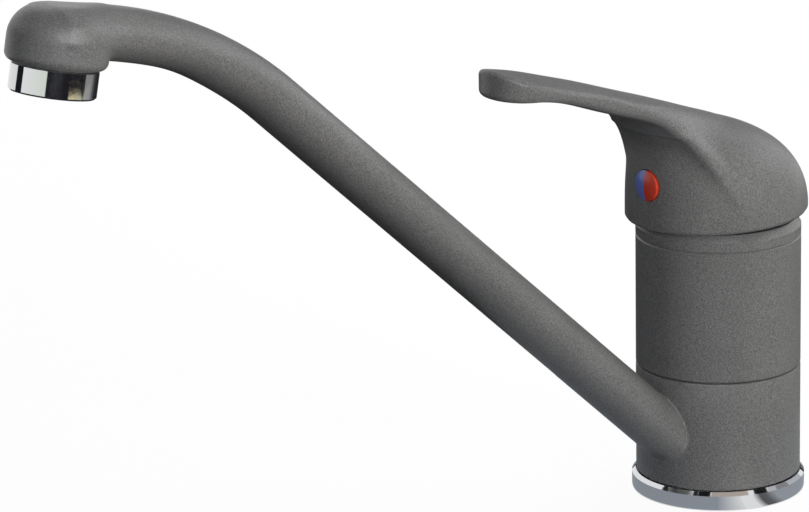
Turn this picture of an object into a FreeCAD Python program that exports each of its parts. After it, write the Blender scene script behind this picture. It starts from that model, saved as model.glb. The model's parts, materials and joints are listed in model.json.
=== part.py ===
import FreeCAD, Part
import math
import os

# Single-lever kitchen mixer tap, in millimetres.
# The origin is the middle of the base on the worktop, +Z is up, and the spout and lever point along -Y.

vector = FreeCAD.Vector
up = vector(0, 0, 1)
across = vector(1, 0, 0)
forward = vector(0, -1, 0)

# Body: outer sizes
body_radius = 25.0
edge_chamfer = 0.4
seam_gap = 0.3
base_ring_overhang = 1.3
base_ring_step = 0.2
base_ring_side = 4.55
base_ring_slope = 1.05
collar_height = 33.6
cover_ring_height = 5.3

# Neck that the collar swivels on
neck_radius = 17.0
swivel_clearance = 0.06
fixed_clearance = 0.15
slide_clearance = 0.1
groove_clearance = 0.2
gallery_height = 11.0
gallery_depth_in_neck = 1.6
gallery_depth_in_collar = 2.4
slide_ring_width = 6.3
slide_ring_thickness = 1.1
o_ring_section = 1.3
o_ring_offset = 9.3

# Base: clip, seal and the threads for hoses and stud
neck_bottom = 0.8
clip_thickness = 1.2
clip_width = 4.3
clip_grip = 1.5
clip_opening = 40.0
clip_shoulder = 3.2
clip_clearance = 0.5
base_seal_height = 2.0
base_seal_width = 2.8
base_seal_edge = 1.6
inlet_thread_radius = 4.5
inlet_thread_length = 12.0
inlet_spacing = 16.0
inlet_offset = 4.5
stud_thread_radius = 3.4
stud_thread_length = 13.0
stud_offset = 10.0

# Cartridge chamber and the cartridge's own pieces, from the bottom up
chamber_floor_thickness = 6.2
chamber_clearance = 0.3
cartridge_radius = 19.8
cartridge_sink = 7.6
port_radius = 3.1
outlet_port_offset = 8.5
seal_thickness = 1.4
seal_depth = 1.6
seal_clearance = 0.1
cartridge_base_gap = 0.1
cartridge_base_height = 3.4
fixed_disc_height = 3.0
fixed_disc_clearance = 0.3
moving_disc_height = 3.0
moving_disc_radius = 11.6
disc_film = 0.02
mixing_pocket_depth = 1.4
mixing_pocket_side = 11.6
mixing_pocket_shift = 1.0
carrier_height = 5.0
carrier_overhang = 1.0
carrier_gap = 0.48
carrier_tongue_width = 9.8
carrier_tongue_length = 13.0
carrier_tongue_height = 1.0
carrier_pocket_floor = 0.2
guide_clearance = 0.1
guide_end_clearance = 0.5
housing_wall = 2.6
housing_shoulder = 1.6
housing_neck_height = 7.5
housing_neck_wall = 3.4
rotor_flange_height = 9.8
rotor_flange_clearance = 0.3
rotor_neck_radius = 12.0
rotor_neck_stand = 0.6
stop_rib_height = 3.2
stop_rib_depth = 2.5
stop_rib_angle = 14.0
mixing_range = 45.0
stop_margin = 2.0

# Spindle: it leans half the lift range towards the lever when the tap is shut
lift_range = 25.0
pivot_rise = 5.0
spindle_side = 8.0
spindle_hub_radius = 3.8
spindle_slot_clearance = 0.25
spindle_arm_step = 0.8
spindle_depth_in_handle = 16.5
ball_radius = 2.6
ball_clearance = 0.12
ball_floor_gap = 0.38
pin_radius = 1.5
pin_end_wall = 2.9
pin_clearance = 0.04

# Cartridge nut and cover ring
nut_thread_step = 1.1
nut_thread_height = 5.0
nut_corner_clearance = 0.27
nut_top_clearance = 0.5
nut_bore_clearance = 0.25
cover_plate = 2.0
cover_hole_radius = 16.4
cover_skirt_depth = 2.2
cover_skirt_wall = 1.0
lift_clearance = 0.3

# Handle
handle_offset = 0.8
handle_gap = 0.3
handle_rim_inset = 0.1
handle_lip = 0.6
handle_belt_overhang = 2.6
handle_belt_rise = 3.8
handle_wall = 2.2
dome_levels = 7
dome_rise = 27.2
dome_lean = 17.0
dome_fullness = 0.62
lever_reach = 88.6
lever_slope = 17.0
lever_half_width = 12.0
lever_tip_round = 12.5
lever_tip_margin = 0.3
lever_root_inset = 3.6
lever_root_rise = 8.4
lever_side_bulge = 0.25
lever_underside_round = 0.8
boss_start = 0.5
boss_wall = 2.6
socket_clearance = 0.05
socket_end_clearance = 0.3
grub_screw_rise = 10.1
grub_screw_radius = 3.0
grub_screw_length = 9.0
grub_point_radius = 1.2
grub_point_length = 1.2
hex_key = 3.0
hex_key_depth = 4.0
indicator_radius = 4.7
indicator_depth = 2.6
indicator_stand = 0.5
indicator_bulge = 0.8
indicator_clearance = 0.06
indicator_wall = 0.5

# Spout: a straight oval tube, one long bend and a round head
spout_angle = 41.7
spout_axis_drop = 4.2
tube_half_width = 11.3
tube_half_height = 7.9
tube_end_half_width = 10.8
tube_end_half_height = 7.55
tube_wall = 2.3
bend_start = 165.0
bend_radius = 121.0
head_lean = 11.3
head_run = 12.92
head_radius = 14.1
head_below_axis = 9.3
head_above_axis = 7.1
head_edge_round = 2.4
head_top_round = 10.0
head_root_inset = 2.2
head_bore_radius = 8.9
head_bore_rise = 2.6

# Aerator
aerator_radius = 12.0
aerator_height = 7.8
aerator_edge = 0.5
aerator_thread_step = 1.1
aerator_thread_height = 5.5
aerator_wall = 1.3
aerator_lip = 0.8
aerator_clearance = 0.1
aerator_screen_rise = 2.0
aerator_screen_thickness = 0.6
screen_hole_radius = 0.45
screen_hole_pitch = 1.7
insert_sink = 1.3
insert_wall = 1.2
insert_core_radius = 2.5
insert_rib_thickness = 1.0
insert_plate_thickness = 1.2
insert_hole_radius = 0.9
insert_hole_circle = 6.0
insert_hole_count = 12
aerator_seal_thickness = 1.7
aerator_seal_width = 1.9

# Heights and radii that follow from the sizes above
base_ring_radius = body_radius + base_ring_overhang
base_seal_outer = base_ring_radius - base_seal_edge
base_seal_inner = base_seal_outer - base_seal_width
base_top = base_ring_side + base_ring_slope
collar_bottom = base_top + seam_gap
collar_top = collar_bottom + collar_height
barrel_bottom = collar_top + seam_gap
neck_middle = (collar_bottom + collar_top) / 2

chamber_floor = barrel_bottom + chamber_floor_thickness
cartridge_bottom = chamber_floor + cartridge_base_gap
cartridge_base_top = cartridge_bottom + cartridge_base_height
fixed_disc_top = cartridge_base_top + fixed_disc_height
moving_disc_bottom = fixed_disc_top + disc_film
moving_disc_top = moving_disc_bottom + moving_disc_height
carrier_top = moving_disc_top + carrier_height
carrier_radius = moving_disc_radius + carrier_overhang
rotor_bottom = carrier_top + carrier_gap
rotor_shoulder = rotor_bottom + rotor_flange_height
housing_top = rotor_shoulder + slide_clearance + housing_shoulder
housing_inner_radius = cartridge_radius - housing_wall
housing_neck_top = housing_top + housing_neck_height
housing_neck_bore = rotor_neck_radius + swivel_clearance
housing_neck_radius = housing_neck_bore + housing_neck_wall
rotor_flange_radius = housing_inner_radius - rotor_flange_clearance
rotor_top = housing_neck_top + rotor_neck_stand

barrel_top = housing_top + cartridge_sink
cover_top = barrel_top + cover_ring_height
nut_thread_radius = cartridge_radius + nut_thread_step
cover_skirt_inner = nut_thread_radius - cover_skirt_wall
nut_thread_top = housing_top + nut_thread_height
nut_top = cover_top - cover_plate - nut_top_clearance

handle_bottom = cover_top + handle_gap
handle_belt = handle_bottom + handle_belt_rise
handle_belt_radius = body_radius + handle_belt_overhang
handle_rim_radius = body_radius - handle_rim_inset
grub_screw_height = handle_belt + grub_screw_rise
indicator_face = handle_belt_radius + handle_offset + indicator_stand
lever_root = handle_belt_radius - lever_root_inset

pivot_height = rotor_bottom + pivot_rise
lift_lean = lift_range / 2
lean = math.radians(lift_lean)
ball_height = moving_disc_top + ball_floor_gap + ball_radius
ball_distance = pivot_height - ball_height
spindle_arm_radius = ball_radius - spindle_arm_step
spindle_top = handle_belt + spindle_depth_in_handle
spindle_shaft_start = pivot_height + spindle_side / 2 * math.tan(lean) + spindle_slot_clearance
pin_length = 2 * (rotor_flange_radius - pin_end_wall)
disc_rest_offset = ball_distance * math.sin(lean)

aerator_thread_radius = aerator_radius - aerator_thread_step
aerator_bore = aerator_thread_radius - aerator_wall

# Ports through the cartridge's base: cold, hot and mixed
ports = [vector(-inlet_spacing / 2, -inlet_offset, 0), vector(inlet_spacing / 2, -inlet_offset, 0),
         vector(0, outlet_port_offset, 0)]

# Lever sections: share of the way from the dome's front to the tip, half width beyond the tip's,
# rise of the crown above the lever's slope, drop from crown to edge and depth of the side
lever_sections = [(-0.40, 11.0, -1.6, 16.6, 7.0), (-0.25, 11.6, -1.2, 16.0, 11.0), (-0.11, 8.4, -0.6, 11.4, 18.0),
                  (0.0, 5.4, 0.0, 5.5, 9.6), (0.11, 3.0, 0.25, 2.4, 6.8), (0.23, 0.8, 0.5, 2.4, 5.4),
                  (0.37, -0.4, 0.75, 2.1, 4.5), (0.53, -0.7, 0.9, 2.1, 4.2), (0.68, -0.2, 1.05, 2.5, 4.0),
                  (0.84, 0.0, 0.9, 2.5, 4.2), (1.0, 0.0, 0.0, 2.0, 4.8)]


def cylinder(radius, low, high, x=0.0, y=0.0):
    return Part.makeCylinder(radius, high - low, vector(x, y, low))


def ring(outer, inner, low, high):
    return cylinder(outer, low, high).cut(cylinder(inner, low - 1, high + 1))


def box(width, depth, low, high, x=0.0, y=0.0):
    return Part.makeBox(width, depth, high - low, vector(x - width / 2, y - depth / 2, low))


def turned(points):
    """Solid turned about Z from a closed outline of radius and height pairs."""
    outline = Part.makePolygon([vector(r, 0, z) for r, z in points + points[:1]])
    return Part.Face(outline).revolve(vector(0, 0, 0), up, 360)


def sector(radius, low, high, middle, angle):
    """Pie slice about Z, with its middle turned from +Y."""
    piece = Part.makeCylinder(radius, high - low, vector(0, 0, low), up, angle)
    piece.rotate(vector(0, 0, 0), up, 90 + middle - angle / 2)
    return piece


def ahead(radius, start, end, height):
    """Level cylinder that points forward from one reach to another."""
    return Part.makeCylinder(radius, end - start, vector(0, -start, height), forward)


def save(name, shape):
    shape.exportStep("parts/" + name + ".step")
    print(name, len(shape.Solids), "solids", round(shape.Volume, 1), "mm3", shape.isValid())


# Base


def base_ring():
    outer = turned([(0, 0), (base_ring_radius, 0), (base_ring_radius, base_ring_side),
                    (body_radius + base_ring_step, base_top), (0, base_top)])
    bore = cylinder(neck_radius + fixed_clearance, -1, base_top + 1)
    clip_space = cylinder(neck_radius - clip_grip + clip_width + clip_clearance, -1, clip_shoulder)
    groove = ring(base_seal_outer + groove_clearance, base_seal_inner - groove_clearance, -1, base_seal_height)
    return outer.cut(bore).cut(clip_space).cut(groove)


def base_seal():
    return ring(base_seal_outer, base_seal_inner, 0, base_seal_height)


def retaining_clip():
    inner = neck_radius - clip_grip
    clip = ring(inner + clip_width, inner, clip_shoulder - clip_thickness, clip_shoulder)
    return clip.cut(sector(2 * neck_radius, 0, base_top, 180, clip_opening))


# Body casting: barrel, neck, cartridge chamber and waterways


def chamfered_drum(low, high):
    """Full drum of the body's outer radius, with a small chamfer on both edges."""
    rim = body_radius - edge_chamfer
    return turned([(0, low), (rim, low), (body_radius, low + edge_chamfer), (body_radius, high - edge_chamfer),
                   (rim, high), (0, high)])


def body_casting():
    body = chamfered_drum(barrel_bottom, barrel_top).fuse(cylinder(neck_radius, neck_bottom, barrel_bottom))
    body = body.removeSplitter()
    body = body.cut(cylinder(cartridge_radius + chamber_clearance, chamber_floor, barrel_top + 1))
    body = body.cut(cylinder(nut_thread_radius + fixed_clearance, housing_top, barrel_top + 1))
    thread_top = neck_bottom + inlet_thread_length
    for x in (-inlet_spacing / 2, inlet_spacing / 2):
        body = body.cut(cylinder(inlet_thread_radius, neck_bottom - 1, thread_top, x, -inlet_offset))
        body = body.cut(cylinder(port_radius, thread_top - 1, chamber_floor + 1, x, -inlet_offset))
    stud_top = neck_bottom + stud_thread_length
    body = body.cut(cylinder(stud_thread_radius, neck_bottom - 1, stud_top, 0, stud_offset))
    body = body.cut(cylinder(port_radius, neck_middle - port_radius, chamber_floor + 1, 0, outlet_port_offset))
    outlet = Part.makeCylinder(port_radius, neck_radius, vector(0, outlet_port_offset, neck_middle), -forward)
    body = body.cut(outlet)
    body = body.cut(ring(neck_radius + 1, neck_radius - gallery_depth_in_neck,
                         neck_middle - gallery_height / 2, neck_middle + gallery_height / 2))
    half_groove = o_ring_section + groove_clearance
    for middle in (neck_middle - o_ring_offset, neck_middle + o_ring_offset):
        body = body.cut(ring(neck_radius + 1, neck_radius - 2 * o_ring_section,
                             middle - half_groove, middle + half_groove))
    clip_low = clip_shoulder - clip_thickness - groove_clearance
    return body.cut(ring(neck_radius + 1, neck_radius - clip_grip, clip_low, clip_shoulder))


def o_ring(middle):
    """Ring that fills its groove's depth and just clears the collar's bore."""
    return Part.makeTorus(neck_radius - o_ring_section, o_ring_section, vector(0, 0, middle))


def slide_ring(low):
    inner = neck_radius + fixed_clearance
    return ring(inner + slide_ring_width, inner, low, low + slide_ring_thickness)


# Spout


def spout_point(along):
    """Point on the spout's axis at a reach from the body's axis, along the straight run."""
    rise = along * math.tan(math.radians(spout_angle))
    return vector(0, -along, collar_bottom - spout_axis_drop + rise)


def bend_point(angle):
    """Point on the spout's bend where its axis rises at an angle in degrees."""
    start = math.radians(spout_angle)
    here = math.radians(angle)
    reach = bend_start + bend_radius * (math.sin(start) - math.sin(here))
    height = spout_point(bend_start).z + bend_radius * (math.cos(here) - math.cos(start))
    return vector(0, -reach, height)


def head_centre():
    """Where the tube's axis meets the head's axis."""
    return bend_point(head_lean) + vector(0, -head_run, head_run * math.tan(math.radians(head_lean)))


def oval(centre, angle, half_width, half_height):
    """Oval section across an axis that rises forward at an angle."""
    axis = vector(0, -math.cos(math.radians(angle)), math.sin(math.radians(angle)))
    curve = Part.Ellipse(centre + across * half_width, centre + across.cross(axis) * half_height, centre)
    return Part.Wire([curve.toShape()])


def tube(inset):
    """The spout's tube in three runs, drawn in from its outer skin by an inset."""
    end_width = tube_end_half_width - inset
    end_height = tube_end_half_height - inset
    root = oval(spout_point(neck_radius), spout_angle, tube_half_width - inset, tube_half_height - inset)
    bend_root = oval(spout_point(bend_start), spout_angle, end_width, end_height)
    straight = Part.makeLoft([root, bend_root], True, True)
    middle = bend_point((spout_angle + head_lean) / 2)
    path = Part.Wire([Part.Arc(spout_point(bend_start), middle, bend_point(head_lean)).toShape()])
    bend = path.makePipeShell([bend_root], True, True)
    bend_end = oval(bend_point(head_lean), head_lean, end_width, end_height)
    nose = oval(head_centre(), head_lean, head_radius - head_root_inset - inset, end_height)
    return [straight, bend, Part.makeLoft([bend_end, nose], True, True)]


def on_head(shape):
    """Places a piece modelled about Z, with the head's centre at the origin, on the head's axis."""
    shape.rotate(vector(0, 0, 0), across, -head_lean)
    shape.translate(head_centre())
    return shape


def head():
    """Round head about Z with a softly rounded top, its centre at the origin."""
    low = -head_below_axis
    diagonal = math.sqrt(0.5)
    side_top = head_above_axis - head_top_round
    flat = head_radius - head_top_round
    rim = head_radius - head_edge_round
    side_low = low + head_edge_round
    edge = Part.Arc(vector(rim, 0, low),
                    vector(rim + head_edge_round * diagonal, 0, side_low - head_edge_round * diagonal),
                    vector(head_radius, 0, side_low))
    shoulder = Part.Arc(vector(head_radius, 0, side_top),
                        vector(flat + head_top_round * diagonal, 0, side_top + head_top_round * diagonal),
                        vector(flat, 0, head_above_axis))
    corners = [vector(flat, 0, head_above_axis), vector(0, 0, head_above_axis), vector(0, 0, low),
               vector(rim, 0, low)]
    side = Part.makeLine(vector(head_radius, 0, side_low), vector(head_radius, 0, side_top))
    outline = Part.Wire([edge.toShape(), side, shoulder.toShape()]
                        + [Part.makeLine(a, b) for a, b in zip(corners, corners[1:])])
    return Part.Face(outline).revolve(vector(0, 0, 0), up, 360)


def spout_casting():
    skin = chamfered_drum(collar_bottom, collar_top)
    for run in tube(0):
        skin = skin.fuse(run)
    skin = skin.fuse(on_head(head()))
    skin = skin.cut(cylinder(neck_radius + swivel_clearance, 0, barrel_bottom))
    recess = neck_radius + fixed_clearance + slide_ring_width + groove_clearance
    skin = skin.cut(cylinder(recess, 0, base_top + slide_ring_thickness + slide_clearance))
    skin = skin.cut(cylinder(recess, barrel_bottom - slide_ring_thickness - slide_clearance, barrel_bottom))
    skin = skin.cut(cylinder(neck_radius + gallery_depth_in_collar,
                             neck_middle - gallery_height / 2, neck_middle + gallery_height / 2))
    for run in tube(tube_wall):
        skin = skin.cut(run)
    low = -head_below_axis
    seat = low + aerator_thread_height + aerator_seal_thickness
    skin = skin.cut(on_head(cylinder(aerator_thread_radius + aerator_clearance, low - 1, seat)))
    return skin.cut(on_head(cylinder(head_bore_radius, low, head_bore_rise)))


# Aerator: its pieces are modelled about Z with the head's centre at the origin


def aerator_housing():
    top = -head_below_axis
    low = top - aerator_height
    thread_top = top + aerator_thread_height
    outer = turned([(0, low), (aerator_radius - aerator_edge, low), (aerator_radius, low + aerator_edge),
                    (aerator_radius, top - aerator_edge), (aerator_radius - aerator_edge, top),
                    (aerator_thread_radius, top), (aerator_thread_radius, thread_top), (0, thread_top)])
    bore = cylinder(aerator_bore, low + aerator_lip, thread_top + 1)
    mouth = cylinder(aerator_bore - aerator_lip, low - 1, low + aerator_lip + 1)
    return on_head(outer.cut(bore).cut(mouth))


def screen_low():
    return -head_below_axis - aerator_height + aerator_screen_rise


def aerator_screen():
    low = screen_low()
    high = low + aerator_screen_thickness
    radius = aerator_bore - aerator_clearance
    count = int(radius / screen_hole_pitch)
    holes = []
    for column in range(-count, count + 1):
        for row in range(-count, count + 1):
            x = column * screen_hole_pitch
            y = row * screen_hole_pitch
            if math.hypot(x, y) < radius - 2 * screen_hole_radius:
                holes.append(cylinder(screen_hole_radius, low - 1, high + 1, x, y))
    return on_head(cylinder(radius, low, high).cut(Part.makeCompound(holes)))


def aerator_insert():
    low = screen_low() + aerator_screen_thickness
    high = -head_below_axis + aerator_thread_height - insert_sink
    radius = aerator_bore - aerator_clearance
    insert = ring(radius, radius - insert_wall, low, high).fuse(cylinder(insert_core_radius, low, high))
    for angle in (0, 45, 90, 135):
        rib = box(2 * radius - insert_wall, insert_rib_thickness, low, high)
        rib.rotate(vector(0, 0, 0), up, angle)
        insert = insert.fuse(rib)
    plate_low = high - insert_plate_thickness
    plate = cylinder(radius - insert_wall / 2, plate_low, high)
    for step in range(insert_hole_count):
        angle = 2 * math.pi * (step + 0.5) / insert_hole_count
        x = insert_hole_circle * math.cos(angle)
        y = insert_hole_circle * math.sin(angle)
        plate = plate.cut(cylinder(insert_hole_radius, plate_low - 1, high + 1, x, y))
    return on_head(insert.fuse(plate).removeSplitter())


def aerator_seal():
    low = -head_below_axis + aerator_thread_height
    return on_head(ring(aerator_thread_radius - aerator_clearance, aerator_thread_radius - aerator_seal_width,
                        low, low + aerator_seal_thickness))


# Cartridge


def cartridge_base():
    plate = cylinder(cartridge_radius, cartridge_bottom, cartridge_base_top)
    seat = port_radius + seal_thickness + seal_clearance
    for port in ports:
        plate = plate.cut(cylinder(port_radius, chamber_floor, cartridge_base_top + 1, port.x, port.y))
        plate = plate.cut(cylinder(seat, chamber_floor, chamber_floor + seal_depth, port.x, port.y))
    return plate


def cartridge_seals():
    seals = []
    for port in ports:
        seal = ring(port_radius + seal_thickness, port_radius, chamber_floor, chamber_floor + seal_depth)
        seal.translate(port)
        seals.append(seal)
    return Part.makeCompound(seals)


def fixed_disc():
    disc = cylinder(housing_inner_radius - fixed_disc_clearance, cartridge_base_top, fixed_disc_top)
    for port in ports:
        disc = disc.cut(cylinder(port_radius, chamber_floor, fixed_disc_top + 1, port.x, port.y))
    return disc


def moving_disc():
    disc = cylinder(moving_disc_radius, moving_disc_bottom, moving_disc_top, 0, disc_rest_offset)
    pocket = box(mixing_pocket_side, mixing_pocket_side, moving_disc_bottom - 1,
                 moving_disc_bottom + mixing_pocket_depth, 0, disc_rest_offset + mixing_pocket_shift)
    return disc.cut(pocket)


def disc_carrier():
    """Disc with a straight tongue on top that slides in the rotor, and a pocket for the spindle's ball."""
    top = rotor_bottom + carrier_tongue_height - guide_clearance
    carrier = cylinder(carrier_radius, moving_disc_top, carrier_top, 0, disc_rest_offset)
    tongue = box(carrier_tongue_width, carrier_tongue_length, carrier_top - 1, top, 0, disc_rest_offset)
    pocket_side = 2 * (ball_radius + ball_clearance)
    pocket = box(pocket_side, pocket_side, moving_disc_top + carrier_pocket_floor, top + 1, 0, disc_rest_offset)
    return carrier.fuse(tongue).removeSplitter().cut(pocket)


def cartridge_housing():
    """Shell with a neck for the rotor and a rib inside that stops the rotor's turn."""
    shell = cylinder(cartridge_radius, cartridge_base_top, housing_top)
    shell = shell.fuse(cylinder(housing_neck_radius, housing_top - 1, housing_neck_top)).removeSplitter()
    shell = shell.cut(cylinder(housing_inner_radius, cartridge_base_top - 1, housing_top - housing_shoulder))
    shell = shell.cut(cylinder(housing_neck_bore, cartridge_base_top, housing_neck_top + 1))
    rib_top = rotor_bottom + stop_rib_height
    rib = sector(housing_inner_radius + housing_wall / 4, rotor_bottom, rib_top, 0, stop_rib_angle)
    rib = rib.cut(cylinder(housing_inner_radius - stop_rib_depth, rotor_bottom - 1, rib_top + 1))
    return shell.fuse(rib).removeSplitter()


def cartridge_rotor():
    rotor = cylinder(rotor_flange_radius, rotor_bottom, rotor_shoulder)
    rotor = rotor.fuse(cylinder(rotor_neck_radius, rotor_shoulder - 1, rotor_top)).removeSplitter()
    below = rotor_bottom - 1
    groove_top = rotor_bottom + stop_rib_height + slide_clearance
    groove = sector(2 * cartridge_radius, below, groove_top, 0, 2 * (mixing_range + stop_margin) + stop_rib_angle)
    floor = cylinder(housing_inner_radius - stop_rib_depth - guide_clearance, below - 1, groove_top + 1)
    rotor = rotor.cut(groove.cut(floor))
    width = spindle_side + 2 * spindle_slot_clearance
    reach = (rotor_top - pivot_height) * math.tan(lean) + spindle_side / 2 / math.cos(lean)
    rotor = rotor.cut(box(width, 2 * (reach + spindle_slot_clearance), pivot_height, rotor_top + 1))
    hub = Part.makeCylinder(spindle_hub_radius + spindle_slot_clearance, width,
                            vector(-width / 2, 0, pivot_height), across)
    rotor = rotor.cut(hub)
    arm = 2 * (spindle_arm_radius + spindle_slot_clearance)
    swing_room = 2 * ball_distance * math.tan(lean)
    rotor = rotor.cut(box(arm, arm + swing_room, below, pivot_height))
    guide_width = carrier_tongue_width + 2 * guide_clearance
    guide_length = carrier_tongue_length + 2 * (disc_rest_offset + guide_end_clearance)
    rotor = rotor.cut(box(guide_width, guide_length, below, rotor_bottom + carrier_tongue_height))
    return rotor.cut(pin(pin_radius))


def pin(radius):
    return Part.makeCylinder(radius, pin_length, vector(-pin_length / 2, 0, pivot_height), across)


def leaned(shape):
    """Turns a piece modelled upright about the pivot to where it lies in the shut tap."""
    shape.rotate(vector(0, 0, pivot_height), across, lift_lean)
    return shape


def cartridge_spindle():
    shaft = box(spindle_side, spindle_side, spindle_shaft_start, spindle_top)
    hub = Part.makeCylinder(spindle_hub_radius, spindle_side, vector(-spindle_side / 2, 0, pivot_height), across)
    arm = cylinder(spindle_arm_radius, ball_height, pivot_height)
    ball = Part.makeSphere(ball_radius, vector(0, 0, ball_height))
    spindle = shaft.fuse([hub, arm, ball]).removeSplitter()
    return leaned(spindle).cut(pin(pin_radius + pin_clearance))


def hexagon(corner, axis_x, axis_y, centre):
    """Face with six corners at a distance from its centre."""
    corners = []
    for step in range(7):
        angle = math.radians(60 * step)
        corners.append(centre + axis_x * (corner * math.cos(angle)) + axis_y * (corner * math.sin(angle)))
    return Part.Face(Part.makePolygon(corners))


def cartridge_nut():
    nut_head = hexagon(cover_skirt_inner - nut_corner_clearance, across, forward, vector(0, 0, nut_thread_top))
    nut = cylinder(nut_thread_radius, housing_top, nut_thread_top).fuse(nut_head.extrude(up * (nut_top - nut_thread_top)))
    return nut.cut(cylinder(housing_neck_radius + nut_bore_clearance, housing_top - 1, nut_top + 1)).removeSplitter()


def cover_ring():
    """Ring over the nut, rounded on top so that the handle's lip clears it as the lever lifts."""
    lip = handle_rim_radius - handle_lip - handle_offset
    clear = math.hypot(lip, handle_bottom - pivot_height) - lift_clearance
    crown_low = pivot_height + math.sqrt(clear ** 2 - body_radius ** 2)
    crown_middle = (crown_low + cover_top) / 2
    crown_radius = math.sqrt(clear ** 2 - (cover_top - pivot_height) ** 2)
    middle_radius = math.sqrt(clear ** 2 - (crown_middle - pivot_height) ** 2)
    crown = Part.Arc(vector(body_radius, 0, crown_low), vector(middle_radius, 0, crown_middle),
                     vector(crown_radius, 0, cover_top)).toShape()
    points = [vector(crown_radius, 0, cover_top), vector(0, 0, cover_top), vector(0, 0, barrel_top),
              vector(body_radius - edge_chamfer, 0, barrel_top),
              vector(body_radius, 0, barrel_top + edge_chamfer), vector(body_radius, 0, crown_low)]
    outline = Part.Wire([crown] + [Part.makeLine(a, b) for a, b in zip(points, points[1:])])
    cover = Part.Face(outline).revolve(vector(0, 0, 0), up, 360)
    skirt_low = barrel_top - cover_skirt_depth
    cover = cover.fuse(cylinder(nut_thread_radius, skirt_low, barrel_top + 1))
    cover = cover.cut(cylinder(cover_skirt_inner, skirt_low - 1, cover_top - cover_plate))
    return cover.cut(cylinder(cover_hole_radius, skirt_low, cover_top + 1)).removeSplitter()


# Handle


def dome_circle(share, inset):
    """Level circle of the dome at a share of its rise, smaller and further forward as it climbs."""
    angle = share * math.pi / 2
    radius = handle_belt_radius * math.cos(angle) ** dome_fullness - inset
    offset = handle_offset + dome_lean * (1 - math.cos(angle))
    height = handle_belt + (dome_rise - inset) * math.sin(angle)
    return Part.Wire([Part.Circle(vector(0, -offset, height), up, radius).toShape()])


def dome(inset):
    shares = [step / dome_levels for step in range(int(dome_levels))]
    return Part.makeLoft([dome_circle(share, inset) for share in shares], True, False)


def lever_section(share, extra_width, bow, drop, depth):
    """Section across the lever: a crowned top, upright sides and a rounded underside."""
    reach = lever_root + share * (lever_reach - lever_root)
    half_width = lever_half_width + extra_width
    rise = dome_rise + lever_root_rise + (reach - lever_root) * math.tan(math.radians(lever_slope))
    crown = handle_belt + rise + bow
    edge = crown - drop
    low = edge - depth
    side_low = half_width - lever_underside_round
    bulge = half_width + lever_side_bulge
    middle = (edge + low) / 2
    left = vector(-half_width, -reach, edge)
    right = vector(half_width, -reach, edge)
    low_left = vector(-side_low, -reach, low)
    low_right = vector(side_low, -reach, low)
    return Part.Wire([Part.Arc(left, vector(0, -reach, crown), right).toShape(),
                      Part.Arc(right, vector(bulge, -reach, middle), low_right).toShape(),
                      Part.Arc(low_right, vector(0, -reach, low - lever_underside_round), low_left).toShape(),
                      Part.Arc(low_left, vector(-bulge, -reach, middle), left).toShape()])


def lever():
    body = Part.makeLoft([lever_section(*section) for section in lever_sections], True, False)
    return body.common(lever_plan())


def lever_plan():
    """Upright prism with the lever's rounded end, seen from above."""
    straight = lever_reach - lever_tip_round
    back = 2 * body_radius
    high = handle_belt + lever_reach
    tip = Part.Ellipse(vector(0, -lever_reach, 0), vector(-lever_half_width - lever_tip_margin, -straight, 0),
                       vector(0, -straight, 0))
    curve = Part.Edge(tip, -math.pi / 2, math.pi / 2)
    start = curve.valueAt(curve.FirstParameter)
    end = curve.valueAt(curve.LastParameter)
    corners = [end, vector(end.x, back, 0), vector(start.x, back, 0), start]
    tongue = Part.Wire([curve] + [Part.makeLine(a, b) for a, b in zip(corners, corners[1:])])
    wide = box(4 * body_radius, straight + back, 0, high, 0, (back - straight) / 2)
    return Part.Face(tongue).extrude(up * high).fuse(wide)


def handle_cavity():
    lip = handle_rim_radius - handle_lip
    skirt = turned([(0, handle_bottom - 1), (lip, handle_bottom - 1), (lip, handle_bottom),
                    (handle_belt_radius - handle_wall, handle_belt), (0, handle_belt)])
    skirt.translate(forward * handle_offset)
    return dome(handle_wall).fuse(skirt)


def handle():
    rim = turned([(0, handle_bottom), (handle_rim_radius, handle_bottom), (handle_belt_radius, handle_belt),
                  (0, handle_belt)])
    rim.translate(forward * handle_offset)
    top = dome(0).fuse(lever())
    boss_radius = spindle_side / math.sqrt(2) + boss_wall
    boss = leaned(cylinder(boss_radius, handle_belt + boss_start, handle_belt + dome_rise))
    front = indicator_face - indicator_stand
    arm = ahead(indicator_radius + indicator_wall, 0, front, grub_screw_height)
    inside = boss.fuse(arm).common(top)
    shell = rim.fuse(top).cut(handle_cavity()).fuse(inside)
    side = spindle_side + 2 * socket_clearance
    shell = shell.cut(leaned(box(side, side, pivot_height, spindle_top + socket_end_clearance)))
    shell = shell.cut(ahead(grub_screw_radius, 0, front + body_radius, grub_screw_height))
    seat = ahead(indicator_radius + indicator_clearance, front - indicator_depth, front + body_radius,
                 grub_screw_height)
    return shell.cut(seat)


def grub_screw():
    """Set screw whose point presses on the spindle's front face."""
    height = grub_screw_height + grub_point_radius - pivot_height
    start = height * math.tan(lean) + spindle_side / 2 / math.cos(lean) + socket_clearance
    shoulder = start + grub_point_length
    end = start + grub_screw_length
    screw = ahead(grub_screw_radius, shoulder, end, grub_screw_height)
    screw = screw.fuse(ahead(grub_point_radius, start, shoulder + 1, grub_screw_height))
    socket = hexagon(hex_key / math.sqrt(3), across, up, vector(0, -end, grub_screw_height))
    return screw.cut(socket.extrude(-forward * hex_key_depth))


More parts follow.
